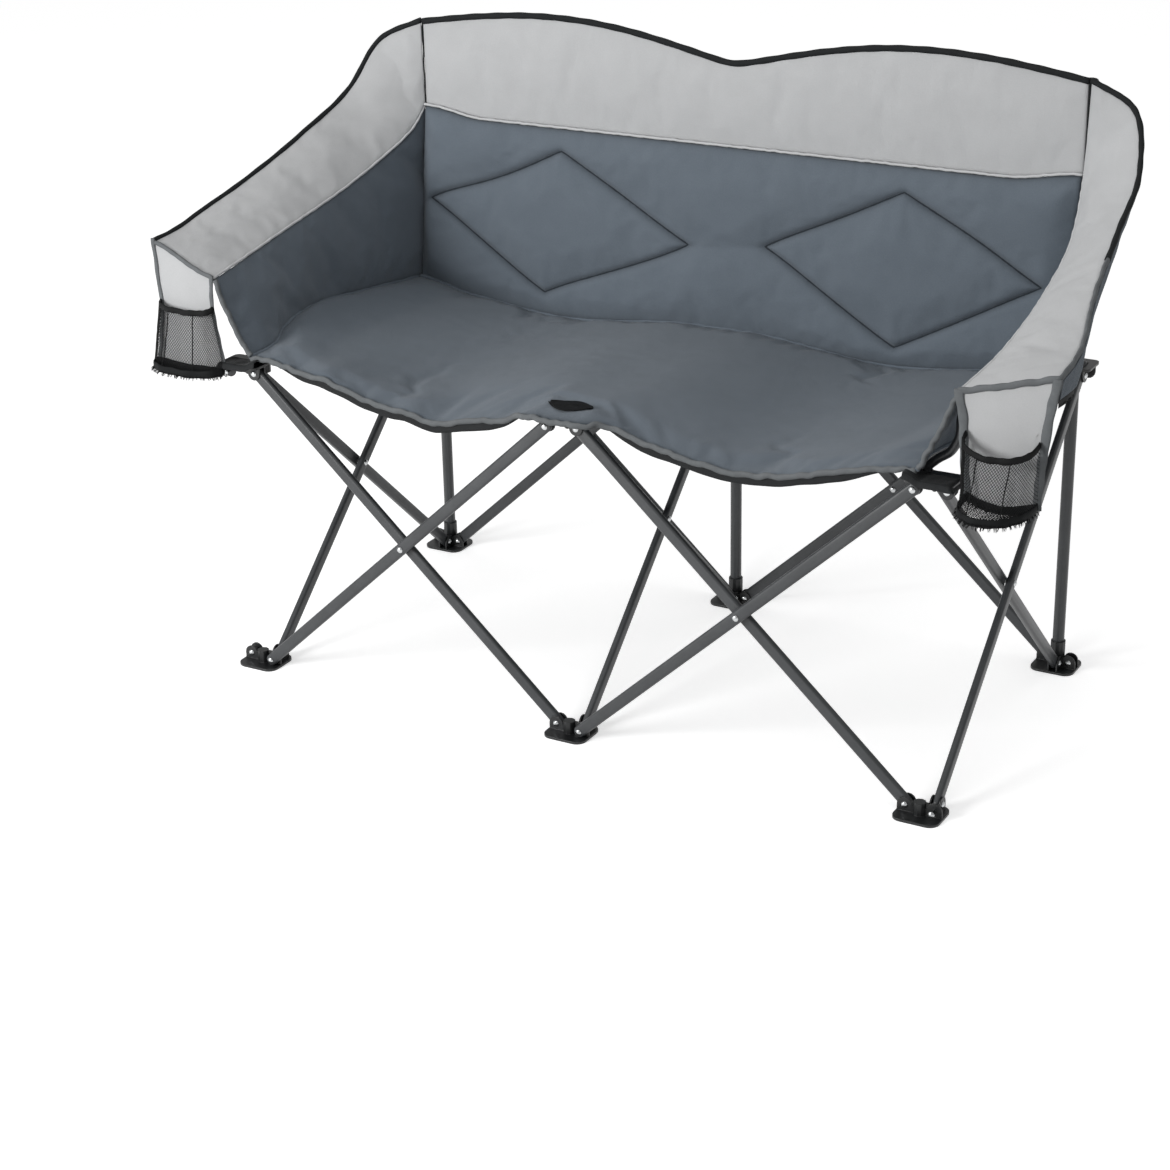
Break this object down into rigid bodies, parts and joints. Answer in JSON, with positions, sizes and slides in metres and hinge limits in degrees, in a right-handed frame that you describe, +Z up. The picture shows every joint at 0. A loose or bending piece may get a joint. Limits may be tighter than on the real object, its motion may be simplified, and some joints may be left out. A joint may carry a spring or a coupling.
{
  "type": "folding camping loveseat",
  "caption": "Wide folding camping seat: crossed steel tubes in moulded hubs and feet, padded seat, quilted back with humped top, sloping padded arms and net cup pockets.",
  "frame": {"origin": "on the ground at the middle of the open seat, halfway between its outermost sides and between the cup pockets and the rear feet", "axes": "+X to the right as seen from in front, +Y from the front edge towards the back, +Z up"},
  "size_m": [1.52, 0.72, 0.9798],
  "materials": {
    "steel_tube": "satin dark grey powder coat on steel tube",
    "rivet_steel": "bright zinc plate on domed rivet heads",
    "moulded_plastic": "fine moulded texture, black",
    "slate_fabric": "plain woven polyester over thin foam, blue grey",
    "silver_fabric": "plain woven polyester over thin foam, light grey",
    "black_webbing": "black woven webbing and binding tape",
    "black_net": "black knitted polyester net",
    "grey_piping": "grey woven tape folded over a cord, puckered"
  },
  "bodies": {
    "rear_center_foot": {"foot_rear_center": "moulded_plastic", "upright_center": "steel_tube", "sleeve_center": "black_webbing", "back_pad": "slate_fabric", "back_band": "silver_fabric"},
    "rear_right_rising": {"tube_rear_right_rising": "steel_tube", "rivet_rear_right": "rivet_steel"},
    "rear_right_falling": {"tube_rear_right_falling": "steel_tube"},
    "rear_right_foot": {"foot_rear_right": "moulded_plastic", "upright_right": "steel_tube", "sleeve_right": "black_webbing", "arm_inner_right": "slate_fabric", "arm_band_right": "silver_fabric", "arm_outer_right": "slate_fabric", "arm_hem_right": "black_webbing"},
    "rear_right_hub": {"hub_rear_right": "moulded_plastic"},
    "rear_center_hub": {"hub_rear_center": "moulded_plastic"},
    "rear_left_falling": {"tube_rear_left_falling": "steel_tube", "rivet_rear_left": "rivet_steel"},
    "rear_left_rising": {"tube_rear_left_rising": "steel_tube"},
    "rear_left_foot": {"foot_rear_left": "moulded_plastic", "upright_left": "steel_tube", "sleeve_left": "black_webbing", "arm_inner_left": "slate_fabric", "arm_band_left": "silver_fabric", "arm_outer_left": "slate_fabric", "arm_hem_left": "black_webbing"},
    "rear_left_hub": {"hub_rear_left": "moulded_plastic"},
    "side_center_falling": {"tube_side_center_falling": "steel_tube", "rivet_side_center": "rivet_steel"},
    "side_center_rising": {"tube_side_center_rising": "steel_tube"},
    "front_center_foot": {"foot_front_center": "moulded_plastic"},
    "front_center_hub": {"hub_front_center": "moulded_plastic", "seat_pad": "slate_fabric", "seat_patch": "black_webbing"},
    "front_right_rising": {"tube_front_right_rising": "steel_tube", "rivet_front_right": "rivet_steel"},
    "front_right_falling": {"tube_front_right_falling": "steel_tube"},
    "front_right_foot": {"foot_front_right": "moulded_plastic"},
    "front_right_hub": {"hub_front_right": "moulded_plastic"},
    "front_left_falling": {"tube_front_left_falling": "steel_tube", "rivet_front_left": "rivet_steel"},
    "front_left_rising": {"tube_front_left_rising": "steel_tube"},
    "front_left_foot": {"foot_front_left": "moulded_plastic"},
    "front_left_hub": {"hub_front_left": "moulded_plastic"},
    "side_left_rising": {"tube_side_left_rising": "steel_tube", "rivet_side_left": "rivet_steel"},
    "side_left_falling": {"tube_side_left_falling": "steel_tube"},
    "side_right_rising": {"tube_side_right_rising": "steel_tube", "rivet_side_right": "rivet_steel"},
    "side_right_falling": {"tube_side_right_falling": "steel_tube"},
    "arm_post_right": {"arm_post_right": "steel_tube", "cup_panel_right": "silver_fabric", "cup_pocket_right": "black_net"},
    "arm_post_left": {"arm_post_left": "steel_tube", "cup_panel_left": "silver_fabric", "cup_pocket_left": "black_net"}
  },
  "joints": [
    {"name": "fold", "type": "hinge", "parent": "rear_center_foot", "child": "rear_right_rising", "pos_m": [0.023, 0.325, 0.014], "axis": [0, -1, 0], "range_deg": [0, 38.5], "deforming": ["seat_pad", "seat_patch", "back_pad", "back_band", "arm_inner_left", "arm_inner_right", "arm_band_left", "arm_band_right", "arm_outer_left", "arm_outer_right", "arm_hem_left", "arm_hem_right"]},
    {"name": "rear_right_cross", "type": "hinge", "parent": "rear_right_rising", "child": "rear_right_falling", "pos_m": [0.29, 0.332, 0.259], "axis": [0, 1, 0], "range_deg": [0, 77]},
    {"name": "rear_right_foot_turn", "type": "hinge", "parent": "rear_right_falling", "child": "rear_right_foot", "pos_m": [0.557, 0.339, 0.014], "axis": [0, -1, 0], "range_deg": [0, 38.5]},
    {"name": "rear_right_hub_turn", "type": "hinge", "parent": "rear_right_rising", "child": "rear_right_hub", "pos_m": [0.557, 0.325, 0.504], "axis": [0, 1, 0], "range_deg": [0, 38.5]},
    {"name": "rear_center_hub_turn", "type": "hinge", "parent": "rear_right_falling", "child": "rear_center_hub", "pos_m": [0.023, 0.339, 0.504], "axis": [0, -1, 0], "range_deg": [0, 38.5]},
    {"name": "rear_left_lean", "type": "hinge", "parent": "rear_center_foot", "child": "rear_left_falling", "pos_m": [-0.023, 0.339, 0.014], "axis": [0, 1, 0], "range_deg": [0, 38.5]},
    {"name": "rear_left_cross", "type": "hinge", "parent": "rear_left_falling", "child": "rear_left_rising", "pos_m": [-0.29, 0.332, 0.259], "axis": [0, -1, 0], "range_deg": [0, 77]},
    {"name": "rear_left_foot_turn", "type": "hinge", "parent": "rear_left_rising", "child": "rear_left_foot", "pos_m": [-0.557, 0.325, 0.014], "axis": [0, 1, 0], "range_deg": [0, 38.5]},
    {"name": "rear_left_hub_turn", "type": "hinge", "parent": "rear_left_falling", "child": "rear_left_hub", "pos_m": [-0.557, 0.339, 0.504], "axis": [0, -1, 0], "range_deg": [0, 38.5]},
    {"name": "side_center_lean", "type": "hinge", "parent": "rear_center_foot", "child": "side_center_falling", "pos_m": [0.0038, 0.309, 0.014], "axis": [-1, 0, 0], "range_deg": [0, 38.5]},
    {"name": "side_center_cross", "type": "hinge", "parent": "side_center_falling", "child": "side_center_rising", "pos_m": [0.0108, 0.042, 0.259], "axis": [1, 0, 0], "range_deg": [0, 77]},
    {"name": "front_center_foot_turn", "type": "hinge", "parent": "side_center_rising", "child": "front_center_foot", "pos_m": [0.0178, -0.225, 0.014], "axis": [-1, 0, 0], "range_deg": [0, 38.5]},
    {"name": "front_center_hub_turn", "type": "hinge", "parent": "side_center_falling", "child": "front_center_hub", "pos_m": [0.0038, -0.225, 0.504], "axis": [1, 0, 0], "range_deg": [0, 38.5]},
    {"name": "front_right_lean", "type": "hinge", "parent": "front_center_foot", "child": "front_right_rising", "pos_m": [0.023, -0.255, 0.014], "axis": [0, -1, 0], "range_deg": [0, 38.5]},
    {"name": "front_right_hub_turn", "type": "hinge", "parent": "front_right_rising", "child": "front_right_hub", "pos_m": [0.557, -0.255, 0.504], "axis": [0, 1, 0], "range_deg": [0, 38.5]},
    {"name": "front_right_cross", "type": "hinge", "parent": "front_right_rising", "child": "front_right_falling", "pos_m": [0.29, -0.248, 0.259], "axis": [0, 1, 0], "range_deg": [0, 77]},
    {"name": "front_right_foot_turn", "type": "hinge", "parent": "front_right_falling", "child": "front_right_foot", "pos_m": [0.557, -0.241, 0.014], "axis": [0, -1, 0], "range_deg": [0, 38.5]},
    {"name": "front_left_lean", "type": "hinge", "parent": "front_center_foot", "child": "front_left_falling", "pos_m": [-0.023, -0.241, 0.014], "axis": [0, 1, 0], "range_deg": [0, 38.5]},
    {"name": "front_left_hub_turn", "type": "hinge", "parent": "front_left_falling", "child": "front_left_hub", "pos_m": [-0.557, -0.241, 0.504], "axis": [0, -1, 0], "range_deg": [0, 38.5]},
    {"name": "front_left_cross", "type": "hinge", "parent": "front_left_falling", "child": "front_left_rising", "pos_m": [-0.29, -0.248, 0.259], "axis": [0, -1, 0], "range_deg": [0, 77]},
    {"name": "front_left_foot_turn", "type": "hinge", "parent": "front_left_rising", "child": "front_left_foot", "pos_m": [-0.557, -0.255, 0.014], "axis": [0, 1, 0], "range_deg": [0, 38.5]},
    {"name": "side_left_front_lean", "type": "hinge", "parent": "front_left_foot", "child": "side_left_rising", "pos_m": [-0.5622, -0.225, 0.014], "axis": [1, 0, 0], "range_deg": [0, 38.5]},
    {"name": "side_right_front_lean", "type": "hinge", "parent": "front_right_foot", "child": "side_right_rising", "pos_m": [0.5978, -0.225, 0.014], "axis": [1, 0, 0], "range_deg": [0, 38.5]},
    {"name": "side_left_rear_lean", "type": "hinge", "parent": "rear_left_foot", "child": "side_left_falling", "pos_m": [-0.5762, 0.309, 0.014], "axis": [-1, 0, 0], "range_deg": [0, 38.5]},
    {"name": "side_right_rear_lean", "type": "hinge", "parent": "rear_right_foot", "child": "side_right_falling", "pos_m": [0.5838, 0.309, 0.014], "axis": [-1, 0, 0], "range_deg": [0, 38.5]},
    {"name": "arm_post_right_swing", "type": "hinge", "parent": "front_right_hub", "child": "arm_post_right", "pos_m": [0.56, -0.215, 0.5], "axis": [0, 0, 1], "range_deg": [0, 68]},
    {"name": "arm_post_left_swing", "type": "hinge", "parent": "front_left_hub", "child": "arm_post_left", "pos_m": [-0.56, -0.215, 0.5], "axis": [0, 0, -1], "range_deg": [0, 68]}
  ],
  "couplings": [
    {"joint": "rear_right_cross", "follows": "fold", "ratio": 2},
    {"joint": "rear_right_foot_turn", "follows": "fold", "ratio": 1},
    {"joint": "rear_right_hub_turn", "follows": "fold", "ratio": 1},
    {"joint": "rear_center_hub_turn", "follows": "fold", "ratio": 1},
    {"joint": "rear_left_lean", "follows": "fold", "ratio": 1},
    {"joint": "rear_left_cross", "follows": "fold", "ratio": 2},
    {"joint": "rear_left_foot_turn", "follows": "fold", "ratio": 1},
    {"joint": "rear_left_hub_turn", "follows": "fold", "ratio": 1},
    {"joint": "side_center_lean", "follows": "fold", "ratio": 1},
    {"joint": "side_center_cross", "follows": "fold", "ratio": 2},
    {"joint": "front_center_foot_turn", "follows": "fold", "ratio": 1},
    {"joint": "front_center_hub_turn", "follows": "fold", "ratio": 1},
    {"joint": "front_right_lean", "follows": "fold", "ratio": 1},
    {"joint": "front_right_hub_turn", "follows": "fold", "ratio": 1},
    {"joint": "front_right_cross", "follows": "fold", "ratio": 2},
    {"joint": "front_right_foot_turn", "follows": "fold", "ratio": 1},
    {"joint": "front_left_lean", "follows": "fold", "ratio": 1},
    {"joint": "front_left_hub_turn", "follows": "fold", "ratio": 1},
    {"joint": "front_left_cross", "follows": "fold", "ratio": 2},
    {"joint": "front_left_foot_turn", "follows": "fold", "ratio": 1},
    {"joint": "side_left_front_lean", "follows": "fold", "ratio": 1},
    {"joint": "side_right_front_lean", "follows": "fold", "ratio": 1},
    {"joint": "side_left_rear_lean", "follows": "fold", "ratio": 1},
    {"joint": "side_right_rear_lean", "follows": "fold", "ratio": 1},
    {"joint": "arm_post_right_swing", "follows": "fold", "ratio": 1.766},
    {"joint": "arm_post_left_swing", "follows": "fold", "ratio": 1.766}
  ]
}
